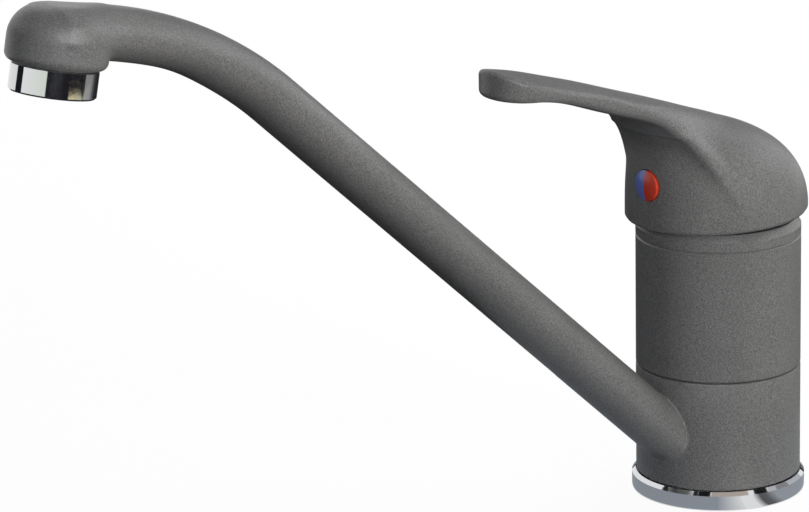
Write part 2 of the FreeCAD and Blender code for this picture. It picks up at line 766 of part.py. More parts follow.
def indicator(side):
    """Half of the domed round plug: side -1 is the cold half and +1 the hot half."""
    plug = ahead(indicator_radius, indicator_face - indicator_depth - indicator_stand, indicator_face,
                 grub_screw_height)
    sphere_radius = (indicator_radius ** 2 + indicator_bulge ** 2) / (2 * indicator_bulge)
    centre = vector(0, -indicator_face - indicator_bulge + sphere_radius, grub_screw_height)
    dome_part = ahead(indicator_radius, indicator_face, indicator_face + 2 * indicator_bulge, grub_screw_height)
    whole = plug.fuse(dome_part.common(Part.makeSphere(sphere_radius, centre))).removeSplitter()
    span = 4 * indicator_radius
    half = box(span, 2 * span, grub_screw_height - span, grub_screw_height + span, side * span / 2, -indicator_face)
    return whole.common(half)


def main():
    os.makedirs("parts", exist_ok=True)
    save("base_ring", base_ring())
    save("base_seal", base_seal())
    save("retaining_clip", retaining_clip())
    save("body_casting", body_casting())
    save("lower_o_ring", o_ring(neck_middle - o_ring_offset))
    save("upper_o_ring", o_ring(neck_middle + o_ring_offset))
    save("lower_slide_ring", slide_ring(base_top))
    save("upper_slide_ring", slide_ring(barrel_bottom - slide_ring_thickness))
    save("spout_casting", spout_casting())
    save("aerator_housing", aerator_housing())
    save("aerator_screen", aerator_screen())
    save("aerator_insert", aerator_insert())
    save("aerator_seal", aerator_seal())
    save("cartridge_base", cartridge_base())
    save("cartridge_seals", cartridge_seals())
    save("fixed_disc", fixed_disc())
    save("moving_disc", moving_disc())
    save("disc_carrier", disc_carrier())
    save("cartridge_housing", cartridge_housing())
    save("cartridge_rotor", cartridge_rotor())
    save("spindle_pin", pin(pin_radius))
    save("cartridge_spindle", cartridge_spindle())
    save("cartridge_nut", cartridge_nut())
    save("cover_ring", cover_ring())
    save("handle", handle())
    save("grub_screw", grub_screw())
    save("indicator_blue", indicator(-1))
    save("indicator_red", indicator(1))


main()
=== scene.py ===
import json
import math

import bpy
import numpy as np
from mathutils import Matrix, Vector


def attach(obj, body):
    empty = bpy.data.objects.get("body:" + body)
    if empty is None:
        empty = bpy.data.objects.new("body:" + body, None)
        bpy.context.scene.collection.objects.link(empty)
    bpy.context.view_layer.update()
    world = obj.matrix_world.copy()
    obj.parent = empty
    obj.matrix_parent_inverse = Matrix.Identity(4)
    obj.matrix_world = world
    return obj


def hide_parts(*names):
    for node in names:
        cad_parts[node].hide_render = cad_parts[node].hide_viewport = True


# Single-lever kitchen mixer tap: the looks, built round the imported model.
# Shapes are worked out in millimetres, with "reach" for the distance forward from the body's axis (-Y),
# and become metres when a mesh is made.

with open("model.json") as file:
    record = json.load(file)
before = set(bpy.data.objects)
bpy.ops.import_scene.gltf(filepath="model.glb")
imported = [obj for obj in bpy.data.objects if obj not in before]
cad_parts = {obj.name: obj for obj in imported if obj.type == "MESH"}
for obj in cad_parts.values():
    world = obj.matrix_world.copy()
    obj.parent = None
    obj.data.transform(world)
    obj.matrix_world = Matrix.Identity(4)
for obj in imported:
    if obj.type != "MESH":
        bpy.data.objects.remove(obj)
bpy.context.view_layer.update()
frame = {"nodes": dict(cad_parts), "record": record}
nodes = frame["nodes"]
print("stage: packed model loaded,", len(nodes), "nodes")


# Small helpers

def linear(hexText):
    # sRGB hex to linear light, with full alpha
    values = [int(hexText[i:i + 2], 16) / 255 for i in (1, 3, 5)]
    return tuple(v / 12.92 if v <= 0.04045 else ((v + 0.055) / 1.055) ** 2.4 for v in values) + (1.0,)


def addNode(tree, kind, settings=None, **links):
    # adds one shader node; a link is a socket, anything else sets that input's value, and i0, i1 and so on
    # count the inputs
    node = tree.nodes.new(kind)
    for name, value in (settings or {}).items():
        setattr(node, name, value)
    for name, value in links.items():
        numbered = name[0] == "i" and name[1:].isdigit()
        socket = node.inputs[int(name[1:]) if numbered else name.replace("_", " ")]
        if isinstance(value, bpy.types.NodeSocket):
            tree.links.new(value, socket)
        else:
            socket.default_value = value
    return node


def newMaterial(name):
    material = bpy.data.materials.new(name)
    material.use_nodes = True
    tree = material.node_tree
    tree.nodes.clear()
    return material, tree


def finishMaterial(tree, shader):
    output = tree.nodes.new("ShaderNodeOutputMaterial")
    tree.links.new(shader.outputs[0], output.inputs[0])


def gridFaces(rows, columns):
    # quads of a grid that closes round its columns
    r, c = np.meshgrid(np.arange(rows - 1), np.arange(columns), indexing="ij")
    nextC = (c + 1) % columns
    return np.stack([r * columns + c, r * columns + nextC, (r + 1) * columns + nextC, (r + 1) * columns + c],
                    axis=-1).reshape(-1, 4)


def makeMesh(name, points, quads, triangles, sharpAngle):
    # one object at the origin from millimetre points; faces bend smoothly, and edges past the angle are sharp
    mesh = bpy.data.meshes.new(name)
    loops = np.concatenate([quads.ravel(), triangles.ravel()]).astype(np.int32)
    sizes = np.concatenate([np.full(len(quads), 4), np.full(len(triangles), 3)])
    mesh.vertices.add(len(points))
    mesh.vertices.foreach_set("co", (points * 0.001).astype(np.float32).ravel())
    mesh.loops.add(len(loops))
    mesh.loops.foreach_set("vertex_index", loops)
    mesh.polygons.add(len(sizes))
    mesh.polygons.foreach_set("loop_start", np.concatenate([[0], np.cumsum(sizes)[:-1]]).astype(np.int32))
    mesh.polygons.foreach_set("use_smooth", np.ones(len(sizes), bool))
    mesh.update(calc_edges=True)
    mesh.validate()
    mesh.set_sharp_from_angle(angle=math.radians(sharpAngle))
    piece = bpy.data.objects.new(name, mesh)
    bpy.context.scene.collection.objects.link(piece)
    return piece


def closedGrid(name, grid, startPole, endPole, sharpAngle=40):
    # skin over a grid of rings (rows, columns, xyz), closed at both ends by a pole
    rows, columns = grid.shape[:2]
    points = np.vstack([grid.reshape(-1, 3), startPole, endPole])
    around = np.arange(columns)
    nextAround = (around + 1) % columns
    first, last = rows * columns, rows * columns + 1
    lastRow = (rows - 1) * columns
    startFan = np.stack([np.full(columns, first), nextAround, around], axis=-1)
    endFan = np.stack([np.full(columns, last), lastRow + around, lastRow + nextAround], axis=-1)
    return makeMesh(name, points, gridFaces(rows, columns), np.vstack([startFan, endFan]), sharpAngle)


def smoothMin(a, b, width, power=2):
    # joins two shapes with a soft cove: where their distances differ by less than the width, the smaller one
    # is lowered by (1 - difference / width) to the power, times width / (2 power); a higher power starts more
    # gently
    overlap = np.maximum(width - np.abs(a - b), 0) / width
    return np.minimum(a, b) - overlap ** power * width / (2 * power)


def smoothMax(a, b, width):
    # cuts one shape by another with a rounded edge: the same, with both signs turned
    return -smoothMin(-a, -b, width)


def ramp(x, low, high):
    # 0 up to low, 1 from high on, and 3 t squared minus 2 t cubed between them
    t = np.clip((x - low) / (high - low), 0, 1)
    return t * t * (3 - 2 * t)


def splineThrough(x, knots, values):
    # natural cubic spline through the knots, held level beyond both ends: on each stretch, the line between
    # its ends plus (a cubed minus a) times the bend at each end, times the stretch squared over 6
    knots = np.asarray(knots, float)
    values = np.asarray(values, float)
    step = np.diff(knots)
    n = len(knots)
    matrix = np.eye(n)
    right = np.zeros(n)
    inner = np.arange(1, n - 1)
    matrix[inner, inner - 1] = step[:-1]
    matrix[inner, inner] = 2 * (step[:-1] + step[1:])
    matrix[inner, inner + 1] = step[1:]
    right[inner] = 6 * np.diff(np.diff(values) / step)
    bend = np.linalg.solve(matrix, right)
    x = np.clip(x, knots[0], knots[-1])
    i = np.clip(np.searchsorted(knots, x) - 1, 0, n - 2)
    a = (knots[i + 1] - x) / step[i]
    b = 1 - a
    return (a * values[i] + b * values[i + 1]
            + ((a ** 3 - a) * bend[i] + (b ** 3 - b) * bend[i + 1]) * step[i] ** 2 / 6)


def pushOut(field, start, direction, farthest, steps=60, halvings=22):
    # moves each start point along its ray to where the field first turns positive: even steps, then halvings
    low = np.zeros(start.shape[:-1])
    high = np.full(start.shape[:-1], farthest)
    found = np.zeros(start.shape[:-1], bool)
    for step in range(1, steps + 1):
        t = farthest * step / steps
        outside = (field(start + direction * t) > 0) & ~found
        high = np.where(outside, t, high)
        found |= outside
        low = np.where(found, low, t)
    for _ in range(halvings):
        middle = (low + high) / 2
        outside = field(start + direction * middle[..., None]) > 0
        high = np.where(outside, middle, high)
        low = np.where(outside, low, middle)
    return start + direction * ((low + high) / 2)[..., None]


# Paint, metal, plastic and rubber

finishes = {
    "paint": "#787877",
    # the speckle's dark and pale greys, also painted shade in the pits and painted light on the bumps
    "paintPitShadeAndSpeckle": "#5d5d5f",
    "paintBumpLightAndSpeckle": "#9c9c9b",
    "paintRoughness": 0.42,
    "glintRoughness": 0.20,
    "grainMm": 0.42,
    "grainHeightMm": 0.06,
    "cloudMm": 16.667,
    "buffingWaveMm": 11.111,
    "buffingHazeMm": 1.1111,
    "toolMarkMm": 0.66667,
    "mottleMm": 1.4286,
    "chrome": "#d9dadc",
    "steel": "#a9abad",
    "brass": "#c9a35a",
    "blue": "#7288de",
    "red": "#e6492f",
    "rubber": "#191919",
    "darkPlastic": "#3b3d40",
    "whitePlastic": "#d8d7d0",
    "ceramic": "#e6e2d8",
}


def perMetre(sizeMm):
    # a pattern's scale from its real size
    return 1000 / sizeMm


def powderCoat():
    # Epoxy powder coat in textured graphite: the powder melts into bumps under half a millimetre across, so
    # the grey looks sandy; its speckle is drawn darker in the pits, as painted shade, and paler on the bumps,
    # as painted light, and a bump here and there glints in a highlight. One dot of the photo covers about 0.3
    # mm of the tap, so a bump at grainMm is about a dot and a half wide. A faint cloud, cloudMm across, keeps
    # larger faces from looking even.
    material, tree = newMaterial("texturedPowderCoat")
    place = addNode(tree, "ShaderNodeTexCoord").outputs["Object"]
    grain = addNode(tree, "ShaderNodeTexNoise", Vector=place, Scale=perMetre(finishes["grainMm"]),
                    Detail=2.0, Roughness=0.7)
    cloud = addNode(tree, "ShaderNodeTexNoise", Vector=place, Scale=perMetre(finishes["cloudMm"]),
                    Detail=2.0, Roughness=0.5)
    # the coat's speckle, with painted shade in the pits and painted light on the bumps, from the same grain
    # as the bump
    speckleAndPaintedShade = addNode(tree, "ShaderNodeValToRGB", Fac=grain.outputs["Fac"])
    stops = speckleAndPaintedShade.color_ramp.elements
    stops[0].position, stops[0].color = 0.30, linear(finishes["paintPitShadeAndSpeckle"])
    stops[1].position, stops[1].color = 0.74, linear(finishes["paintBumpLightAndSpeckle"])
    middle = stops.new(0.5)
    middle.color = linear(finishes["paint"])
    spread = addNode(tree, "ShaderNodeMapRange", Value=cloud.outputs["Fac"],
                     From_Min=0.3, From_Max=0.7, To_Min=0.95, To_Max=1.05)
    shade = addNode(tree, "ShaderNodeHueSaturation", Color=speckleAndPaintedShade.outputs[0], Value=spread.outputs[0])
    rough = addNode(tree, "ShaderNodeMapRange", Value=grain.outputs["Fac"], From_Min=0.55, From_Max=0.72,
                    To_Min=finishes["paintRoughness"], To_Max=finishes["glintRoughness"])
    bump = addNode(tree, "ShaderNodeBump", Height=grain.outputs["Fac"], Strength=0.6,
                   Distance=finishes["grainHeightMm"] / 1000)
    surface = addNode(tree, "ShaderNodeBsdfPrincipled", Base_Color=shade.outputs[0],
                      Roughness=rough.outputs[0], Specular_IOR_Level=0.5, Normal=bump.outputs[0])
    finishMaterial(tree, surface)
    return material


def polishedChrome():
    # Bright chrome plate on brass: a mirror with a faint waviness from buffing under the plate. The fine haze
    # of the buffing is too small to show and is drawn at buffingHazeMm.
    material, tree = newMaterial("polishedChromePlate")
    place = addNode(tree, "ShaderNodeTexCoord").outputs["Object"]
    wave = addNode(tree, "ShaderNodeTexNoise", Vector=place, Scale=perMetre(finishes["buffingWaveMm"]),
                   Detail=1.0)
    haze = addNode(tree, "ShaderNodeTexNoise", Vector=place, Scale=perMetre(finishes["buffingHazeMm"]),
                   Detail=2.0)
    rough = addNode(tree, "ShaderNodeMapRange", Value=haze.outputs["Fac"],
                    From_Min=0.3, From_Max=0.7, To_Min=0.04, To_Max=0.08)
    bump = addNode(tree, "ShaderNodeBump", Height=wave.outputs["Fac"], Strength=0.05, Distance=0.0004)
    surface = addNode(tree, "ShaderNodeBsdfPrincipled", Base_Color=linear(finishes["chrome"]), Metallic=1.0,
                      Roughness=rough.outputs[0], Normal=bump.outputs[0])
    finishMaterial(tree, surface)
    return material


def machinedMetal(name, tint, roughness):
    # Turned metal: fine tool marks break up the gloss. They are too fine to show, and these pieces are mostly
    # hidden, so the marks are drawn as an even grain at toolMarkMm.
    material, tree = newMaterial(name)
    place = addNode(tree, "ShaderNodeTexCoord").outputs["Object"]
    marks = addNode(tree, "ShaderNodeTexNoise", Vector=place, Scale=perMetre(finishes["toolMarkMm"]),
                    Detail=2.0)
    rough = addNode(tree, "ShaderNodeMapRange", Value=marks.outputs["Fac"], From_Min=0.3, From_Max=0.7,
                    To_Min=roughness - 0.08, To_Max=roughness + 0.08)
    bump = addNode(tree, "ShaderNodeBump", Height=marks.outputs["Fac"], Strength=0.15, Distance=0.0001)
    surface = addNode(tree, "ShaderNodeBsdfPrincipled", Base_Color=linear(tint), Metallic=1.0,
                      Roughness=rough.outputs[0], Normal=bump.outputs[0])
    finishMaterial(tree, surface)
    return material


def mouldedPlastic(name, tint, roughness, coat=0.0):
    # Injection-moulded plastic or moulded rubber: an even tint with a slight mottling and a mould texture,
    # which is too fine to show and is drawn at mottleMm.
    material, tree = newMaterial(name)
    place = addNode(tree, "ShaderNodeTexCoord").outputs["Object"]
    mottle = addNode(tree, "ShaderNodeTexNoise", Vector=place, Scale=perMetre(finishes["mottleMm"]),
                     Detail=3.0)
    spread = addNode(tree, "ShaderNodeMapRange", Value=mottle.outputs["Fac"],
                     From_Min=0.3, From_Max=0.7, To_Min=0.93, To_Max=1.05)
    shade = addNode(tree, "ShaderNodeHueSaturation", Color=linear(tint), Value=spread.outputs[0])
    bump = addNode(tree, "ShaderNodeBump", Height=mottle.outputs["Fac"], Strength=0.12, Distance=0.00005)
    surface = addNode(tree, "ShaderNodeBsdfPrincipled", Base_Color=shade.outputs[0], Roughness=roughness,
                      Normal=bump.outputs[0], Coat_Weight=coat, Coat_Roughness=0.06)
    finishMaterial(tree, surface)
    return material


def ceramicDisc():
    # Alumina, lapped flat: off-white with a satin gloss.
    return mouldedPlastic("lappedAlumina", finishes["ceramic"], 0.25)


materials = {
    "graphite_paint": powderCoat(),
    "chrome": polishedChrome(),
    "steel": machinedMetal("brightStainlessSteel", finishes["steel"], 0.3),
    "brass": machinedMetal("turnedBrass", finishes["brass"], 0.32),
    "rubber": mouldedPlastic("mouldedSealRubber", finishes["rubber"], 0.75),
    "grey_plastic": mouldedPlastic("greyAcetal", finishes["darkPlastic"], 0.45),
    "white_plastic": mouldedPlastic("whiteAcetal", finishes["whitePlastic"], 0.4),
    "ceramic": ceramicDisc(),
    "blue_plastic": mouldedPlastic("glossyBlueAcrylic", finishes["blue"], 0.3, coat=0.25),
    "red_plastic": mouldedPlastic("glossyRedAcrylic", finishes["red"], 0.3, coat=0.25),
}
slotOf = {row["node"]: row["material_slot"] for row in frame["record"]["subparts"]}
for name, piece in nodes.items():
    piece.data.materials.clear()
    piece.data.materials.append(materials[slotOf[name]])
print("stage: finishes made and given to the packed pieces")


def dress(piece, slot, body, *replaced):
    # gives a new piece its finish and the body that it moves with
    piece.data.materials.append(materials[slot])
    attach(piece, body)
    if replaced:
        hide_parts(*replaced)


# directions: to the tap's side, forward and up
across = np.array([1.0, 0, 0])
forward = np.array([0, -1.0, 0])
upright = np.array([0, 0, 1.0])


# Handle

handle = {
    "lipInnerMm": 25.6, "lipOuterMm": 27.05, "bottomMm": 86.75, "rimMm": 87.7, "beltMm": 89.5,
    "beltRadiusMm": 27.58, "beltRoundMm": 0.7, "rimTilt": (0.028, 0.036), "offsetMm": 0.8, "wallMm": 2.2,
    "ceilingMm": 97.0,
    "domeRiseMm": 27.2, "domeLeanMm": 17.0, "domeFullness": 0.62,
    "seatRadiusMm": 4.95, "seatReachMm": 25.8, "seatHeightMm": 99.6, "seatCutMm": 12, "seatPoints": 96,
    "hingeReachMm": 44.0, "fanStartMm": 90.8, "tipCentreReachMm": 79.5, "tipCentreMm": 139.6,
    "tipReachMm": 88.35, "tipStraightMm": 75.4, "tipHalfWidthMm": 12.5, "tipSquareness": 2.08,
    "tipTaper": 0.25, "tipRoundMm": 1.6, "backMm": -12.0, "backRoundMm": 6.0,
    # the lever's sides bulge and its underside hangs by this much; its shoulder's round shrinks forward
    "sideBulgeMm": 0.35, "underSagMm": 0.9, "underRoundMm": 2.0,
    "shoulderMm": 0.9, "shoulderExtraMm": 14, "shoulderReachMm": (12, 44),
    # the join with the dome: cove under the lever's edge, and the tighter blend elsewhere, back and front
    "coveMm": 12.0, "coveDepthMm": (1.0, 7.0), "coveReachMm": (5, 24),
    "blendMm": (6.0, 2.0), "blendReachMm": (8, 36),
    "columns": 256, "fanRows": 120, "straightRows": 62, "endRows": 44,
    # sections along the lever: reach, half width, crown, edge and side's low edge
    "sections": [(-16, 18.0, 106.5, 91, 84), (-8, 21.5, 112.0, 95.5, 88), (-2, 23.0, 115.4, 99.5, 91),
                 (8, 23.0, 119.5, 104.0, 93), (17, 20.2, 122.8, 113.5, 104),
                 (24, 17.4, 125.3, 121.0, 113.2), (31, 15.0, 127.7, 125.0, 119.4),
                 (39, 12.8, 130.35, 127.9, 123.5), (48, 11.6, 133.4, 131.1, 126.6),
                 (58, 11.3, 136.7, 134.3, 130.2), (68, 11.8, 139.7, 137.1, 133.4),
                 (78, 12.1, 142.6, 140.0, 135.5), (84, 12.1, 143.9, 141.4, 136.1),
                 (89, 12.1, 144.8, 142.5, 137.0)],
}


def domeField(p):
    # distance-like value of the dome: level circles that shrink and move forward as they climb, so that
    # (radius share) to the power 2 / fullness, plus (height share) squared, is 1 on the skin
    rise = np.maximum((p[..., 2] - handle["beltMm"]) / handle["domeRiseMm"], 0)
    cosine = np.sqrt(np.maximum(1 - rise * rise, 0))
    centre = handle["offsetMm"] + handle["domeLeanMm"] * (1 - cosine)
    share = np.hypot(p[..., 0], -p[..., 1] - centre) / handle["beltRadiusMm"]
    power = 2 / handle["domeFullness"]
    value = share ** power + rise * rise - 1
    slope = np.hypot(power * share ** (power - 1) / handle["beltRadiusMm"], 2 * rise / handle["domeRiseMm"])
    return value / np.maximum(slope, 0.02)


def leverSections(reach, *columns):
    # these columns of the sections, drawn smoothly along the reach
    table = np.array(handle["sections"], float)
    return [splineThrough(reach, table[:, 0], table[:, column]) for column in columns]


def leverField(p):
    # distance-like value of the lever. Its top falls from the crown by (crown - edge) times (width share)
    # squared; its sides stand at the half width, with a bulge of 1 less (height share) squared; its underside
    # sags by 1 less (width share) squared. From above, the tip is an oval: (run share) to the power
    # squareness, plus (width share) to the same power, is 1.
    h = handle
    x, reach, z = np.abs(p[..., 0]), -p[..., 1], p[..., 2]
    halfWidth, crown, edge, low = leverSections(reach, 1, 2, 3, 4)
    share = np.minimum(x / halfWidth, 1.2)  # beside the lever the top's fall is held
    slope = 2 * (crown - edge) * share / halfWidth
    # 1.09 and 1.045 undo the lengthening by the lever's climb of about 0.3 along its length
    top = (z - crown + (crown - edge) * share * share) / np.sqrt(1.09 + slope * slope)
    heightShare = (z - (edge + low) / 2) / (edge - low + 0.1) * 2
    side = x - halfWidth - h["sideBulgeMm"] * np.clip(1 - heightShare ** 2, 0, 1)
    under = (low - h["underSagMm"] * (1 - share * share) - z) / 1.045
    shoulder = h["shoulderMm"] + h["shoulderExtraMm"] * (1 - ramp(reach, *h["shoulderReachMm"]))
    body = smoothMax(top, side, shoulder)
    body = smoothMax(body, under, h["underRoundMm"])
    power = h["tipSquareness"]
    run = np.maximum(reach - h["tipStraightMm"], 0) / (h["tipReachMm"] - h["tipStraightMm"])
    oval = (run ** power + (x / h["tipHalfWidthMm"]) ** power) ** (1 / power)
    before = x - h["tipHalfWidthMm"] - h["tipTaper"] * (h["tipStraightMm"] - reach)
    tip = np.where(reach > h["tipStraightMm"], (oval - 1) * h["tipHalfWidthMm"], before)
    body = smoothMax(body, h["backMm"] - reach, h["backRoundMm"])
    return smoothMax(body, tip, h["tipRoundMm"])


def handleField(p):
    # dome and lever joined: a deep cove under the lever's edge, and elsewhere a blend that tightens forward
    h = handle
    reach, z = -p[..., 1], p[..., 2]
    edge, = leverSections(reach, 3)
    wide, tight = h["blendMm"]
    blend = wide + (tight - wide) * ramp(reach, *h["blendReachMm"])
    cove = ramp(edge - z, *h["coveDepthMm"]) * ramp(reach, *h["coveReachMm"])
    return smoothMin(domeField(p), leverField(p), blend + (h["coveMm"] - blend) * cove, power=3)


def beltProfile():
    # radius and height pairs from the cavity's ceiling down its wall, round the lip in small steps and up to
    # the belt, where the cone meets the round: centre + round (cos a, sin a)
    h = handle
    innerBelt = h["beltRadiusMm"] - h["wallMm"]
    corner = []
    slope = math.atan2(h["beltRadiusMm"] - h["lipOuterMm"], h["rimMm"] - h["bottomMm"])
    centreR = h["beltRadiusMm"] - h["beltRoundMm"]
    centreZ = h["rimMm"] + h["beltRoundMm"] * math.tan(slope / 2)
    for a in np.linspace(-slope, 0, 6):
        corner.append((centreR + h["beltRoundMm"] * math.cos(a), centreZ + h["beltRoundMm"] * math.sin(a)))
    inner = [(4, h["ceilingMm"]), (12, h["ceilingMm"]), (innerBelt - 3, h["ceilingMm"]),
             (innerBelt - 0.6, h["ceilingMm"] - 1.2), (innerBelt, h["ceilingMm"] - 3),
             (innerBelt, h["beltMm"] + 1),
             (h["lipInnerMm"], h["bottomMm"] + 1.0), (h["lipInnerMm"], h["bottomMm"] + 0.25),
             (h["lipInnerMm"] + 0.15, h["bottomMm"] + 0.05), (h["lipInnerMm"] + 0.3, h["bottomMm"]),
             (h["lipOuterMm"] - 0.25, h["bottomMm"]), (h["lipOuterMm"], h["bottomMm"] + 0.15)]
    along = np.linspace(0.12, 0.88, 5)
    cone = [(h["lipOuterMm"] + t * (corner[0][0] - h["lipOuterMm"]),
             h["bottomMm"] + 0.15 + t * (corner[0][1] - h["bottomMm"] - 0.15)) for t in along]
    return np.array(inner + cone + corner)


def buildHandle():
    # rings of points from the cavity's ceiling to the tip: turned ones up to the belt, then points on the
    # joined shape's skin, found along rays from the middle of each section
    h = handle
    angles = np.linspace(0, 2 * np.pi, h["columns"], endpoint=False)
    profile = beltProfile()
    turned = np.stack([profile[:, :1] * np.sin(angles), -h["offsetMm"] - profile[:, :1] * np.cos(angles),
                       np.repeat(profile[:, 1:], len(angles), axis=1)], axis=-1)
    # the rim isn't quite level: its height changes by the tilt times x and y, fading out above the belt
    share = np.clip((h["fanStartMm"] - profile[:, 1:]) / (h["fanStartMm"] - h["rimMm"] - 0.6), 0, 1)
    turned[..., 2] += share * (h["rimTilt"][0] * turned[..., 0] + h["rimTilt"][1] * turned[..., 1])
    # rows in planes that fan round a level hinge in front of the dome, from the belt up to the lever
    fan = np.radians(np.linspace(0, 90, h["fanRows"]))[:, None]
    along = np.linspace(0, 1, h["straightRows"])[1:, None]
    straightReach = h["hingeReachMm"] + (h["tipCentreReachMm"] - h["hingeReachMm"]) * along
    hingeReach = np.vstack([np.full_like(fan, h["hingeReachMm"]), straightReach])
    tilt = np.vstack([fan, np.full_like(straightReach, np.pi / 2)])
    outward = np.stack([np.zeros_like(tilt), np.cos(tilt), np.sin(tilt)], axis=-1)
    hinge = np.stack([np.zeros_like(tilt), -hingeReach, np.full_like(tilt, h["fanStartMm"])], axis=-1)
    # the middle of each section comes from where a line from the hinge enters and leaves the solid
    span = np.linspace(5, 90, 700)
    inside = handleField(hinge + outward * span[None, :, None]) < 0
    first = span[np.argmax(inside, axis=1)]
    last = span[len(span) - 1 - np.argmax(inside[:, ::-1], axis=1)]
    middle = ((first + last) / 2)[:, None, None]
    start = hinge + outward * middle
    sine = np.sin(angles)[None, :, None]
    cosine = np.cos(angles)[None, :, None]
    direction = across * sine - outward * cosine
    longestRay, longestEndRay = 60.0, 40.0
    sections = pushOut(handleField, np.broadcast_to(start, direction.shape).copy(), direction, longestRay)
    # rounded end: rays from a centre inside the tip
    lift = np.radians(np.linspace(90, 0, h["endRows"])[1:-1])[:, None, None]
    centre = np.array([0, -h["tipCentreReachMm"], h["tipCentreMm"]])
    endDirection = np.sin(lift) * (across * sine - upright * cosine) + np.cos(lift) * forward
    endStart = np.broadcast_to(centre, endDirection.shape).copy()
    endRows = pushOut(handleField, endStart, endDirection, longestEndRay)
    tip = pushOut(handleField, centre[None, :], forward[None, :], longestEndRay)
    grid = np.concatenate([turned, sections, endRows])
    ceiling = np.array([[0, -h["offsetMm"], h["ceilingMm"]]])
    return closedGrid("leverHandle", grid, ceiling, tip, sharpAngle=50)


def sinkSeat(piece):
    # sinks a round seat into the front of the handle, a little wider than the indicator, and keeps the result
    radius, height, count = handle["seatRadiusMm"], handle["seatHeightMm"], handle["seatPoints"]
    floor, front = handle["seatReachMm"], handle["seatReachMm"] + handle["seatCutMm"]
    angles = np.linspace(0, 2 * np.pi, count, endpoint=False)
    ring = np.stack([radius * np.cos(angles), np.zeros(count), height + radius * np.sin(angles)], axis=-1)
    rows = np.stack([ring + forward * reach for reach in (floor, front)])
    cutter = closedGrid("seatCutter", rows, [[0, -floor, height]], [[0, -front, height]])
    trim = piece.modifiers.new("seat", "BOOLEAN")
    trim.operation, trim.solver, trim.object = "DIFFERENCE", "EXACT", cutter
    bpy.context.view_layer.update()
    shaped = bpy.data.meshes.new_from_object(piece.evaluated_get(bpy.context.evaluated_depsgraph_get()))
    piece.modifiers.clear()
    piece.data = shaped
    shaped.name = piece.name
    bpy.data.objects.remove(cutter)


leverHandle = buildHandle()
sinkSeat(leverHandle)
dress(leverHandle, "graphite_paint", "handle", "handle")
print("stage: handle made,", len(leverHandle.data.polygons), "faces")


# Spout: collar, oval tube and round head

spout = {
    "bodyRadiusMm": 25.0, "collarLowMm": 5.9, "collarHighMm": 39.5, "boreMm": 17.06, "chamferMm": 0.55,
    "recessMm": 6.7, "recessDepthMm": 1.2, "collarColumns": 192,
    # the tube's middle line: straight from the body's axis, then a bend, then straight into the head
    "angleDeg": 41.7, "axisStartMm": 1.7, "straightReachMm": 165.0, "bendRadiusMm": 121.0,
    "headLeanDeg": 11.3, "headRunMm": 12.92,
    # its oval section at the collar and at the bend, and how much it shrinks inside the head over dipRunMm
    "halfWidthMm": (11.3, 10.8), "halfHeightMm": (7.9, 7.55), "widthDipMm": 3, "heightDipMm": 5,
    "dipRunMm": 14,
    # the bend is slimmer below
    "slimMm": 0.3, "slimReachMm": 197, "slimRunMm": 12, "raiseMm": 0.06,
    # the head, with heights from the tube's middle line; the join with it widens between two heights
    "headRadiusMm": 14.06, "headBelowMm": 9.3, "headAboveMm": 7.02, "headEdgeMm": 2.4,
    "headTopRoundMm": 9.6, "headBlendMm": 1.6, "headBlendExtraMm": 4.9, "headBlendHeightMm": (-7, -1),
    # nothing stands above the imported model's top
    "topMm": 187.54, "topRoundMm": 1.2,
    # the tube meets the collar within entryMm along its line, and its near end closes at heartMm inside it;
    # from commonMm on its sections stand square to the line, closer together over the last closeMm
    "filletMm": 0.7, "entryMm": (5.0, 70.0), "heartMm": (0, -16.0, 16.0), "commonMm": 75.0, "closeMm": 34,
    "columns": 224,
}
slopeAngle = math.radians(spout["angleDeg"])
leanAngle = math.radians(spout["headLeanDeg"])
straightLength = spout["straightReachMm"] / math.cos(slopeAngle)
bendLength = spout["bendRadiusMm"] * (slopeAngle - leanAngle)
endLength = spout["headRunMm"] / math.cos(leanAngle)
wholeLength = straightLength + bendLength + endLength


def spoutLine(s):
    # point, forward direction and upward normal of the tube's middle line at a length from the body's axis
    inBend = np.clip((s - straightLength) / spout["bendRadiusMm"], 0, slopeAngle - leanAngle)
    angle = slopeAngle - inBend
    r = spout["bendRadiusMm"]
    straight = np.minimum(s, straightLength)
    end = np.maximum(s - straightLength - bendLength, 0)
    reach = straight * np.cos(slopeAngle) + r * (np.sin(slopeAngle) - np.sin(angle)) + end * np.cos(leanAngle)
    height = (spout["axisStartMm"] + straight * np.sin(slopeAngle) + r * (np.cos(angle) - np.cos(slopeAngle))
              + end * np.sin(leanAngle))
    zero = np.zeros_like(reach)
    point = np.stack([zero, -reach, height], axis=-1)
    ahead = np.stack([zero, -np.cos(angle), np.sin(angle)], axis=-1)
    normal = np.stack([zero, np.sin(angle), np.cos(angle)], axis=-1)
    return point, ahead, normal


headPoint, headAhead, headUp = (v[0] for v in spoutLine(np.array([wholeLength])))


def tubeHalves(s):
    # half width and half height: they shrink evenly to the bend, and again inside the head
    share = np.clip(s / straightLength, 0, 1)
    dip = ramp(s, wholeLength - spout["dipRunMm"], wholeLength)

    def narrowed(ends, less):
        return ends[0] + share * (ends[1] - ends[0]) - less * dip

    return (narrowed(spout["halfWidthMm"], spout["widthDipMm"]),
            narrowed(spout["halfHeightMm"], spout["heightDipMm"]))


